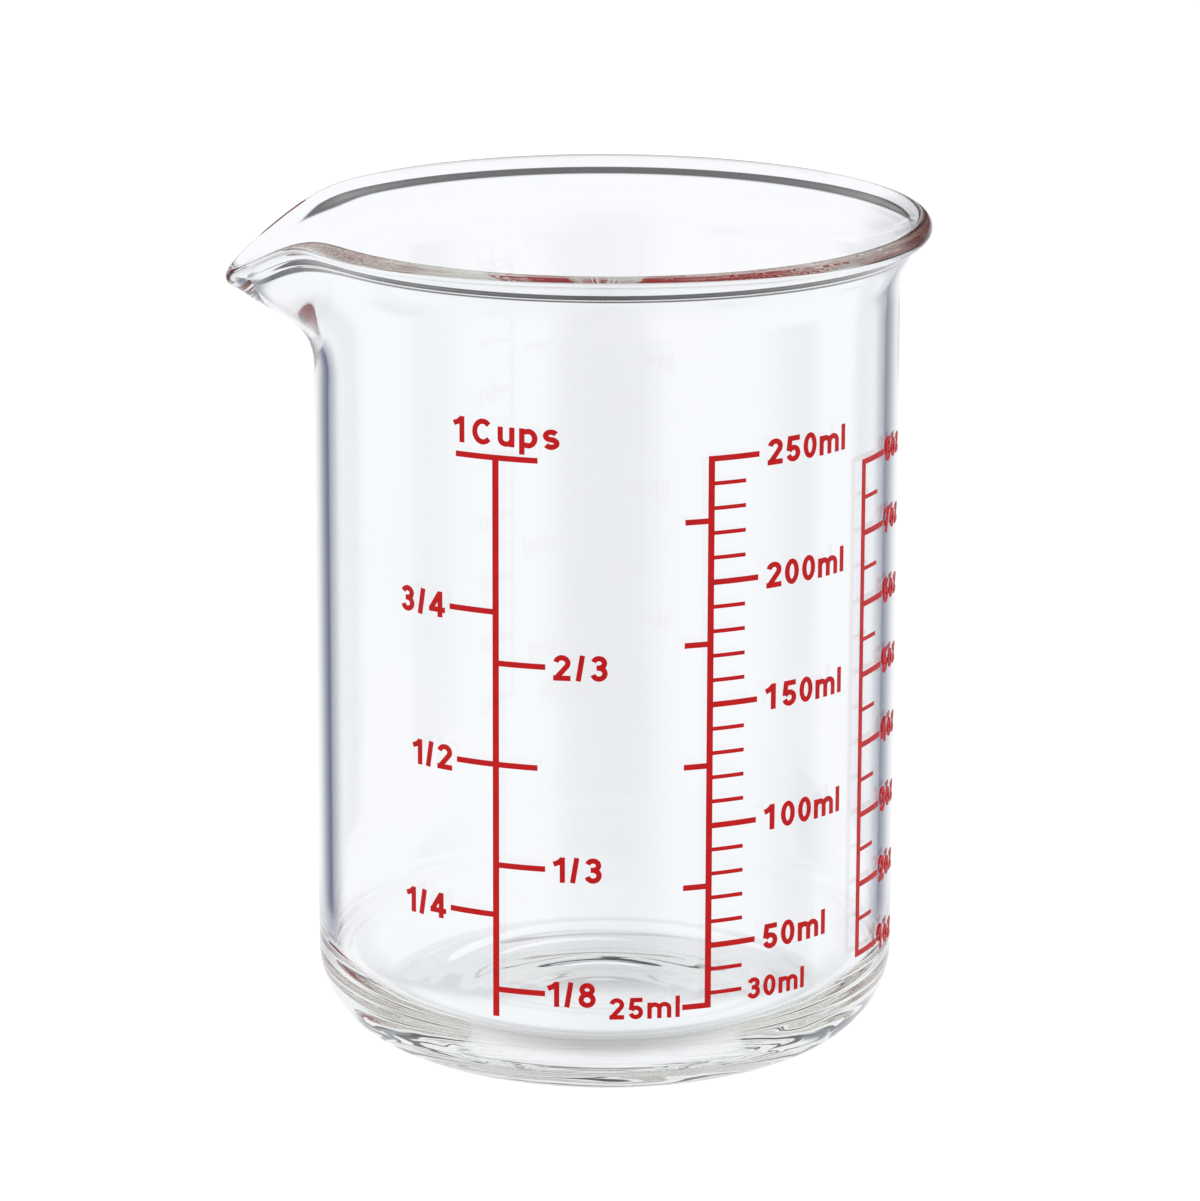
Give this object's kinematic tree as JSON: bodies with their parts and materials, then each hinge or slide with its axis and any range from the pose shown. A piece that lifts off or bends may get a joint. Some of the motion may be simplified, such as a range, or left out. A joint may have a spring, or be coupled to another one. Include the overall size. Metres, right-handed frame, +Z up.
{
  "type": "beaker",
  "caption": "Low glass beaker with a rolled rim, a pulled pouring spout, a thick domed foot and scales printed on the wall.",
  "frame": {"origin": "centre of the foot, on the surface that the beaker stands on", "axes": "+Z up the beaker's axis, -X towards the spout, -Y towards the front, between the cup and millilitre scales"},
  "size_m": [0.0835, 0.0768, 0.1],
  "materials": {
    "glass": "clear borosilicate glass, fire-polished",
    "print": "red enamel print, fired on, satin gloss"
  },
  "bodies": {
    "root": {"glass_vessel": "glass", "cup_scale": "print", "ml_scale": "print", "oz_scale": "print", "cup_label_1": "print", "cup_label_1_8": "print", "cup_label_1_4": "print", "cup_label_1_3": "print", "cup_label_1_2": "print", "cup_label_2_3": "print", "cup_label_3_4": "print", "ml_label_25": "print", "ml_label_30": "print", "ml_label_50": "print", "ml_label_100": "print", "ml_label_150": "print", "ml_label_200": "print", "ml_label_250": "print", "oz_label_1": "print", "oz_label_2": "print", "oz_label_3": "print", "oz_label_4": "print", "oz_label_5": "print", "oz_label_6": "print", "oz_label_7": "print", "oz_label_8": "print"}
  },
  "joints": []
}
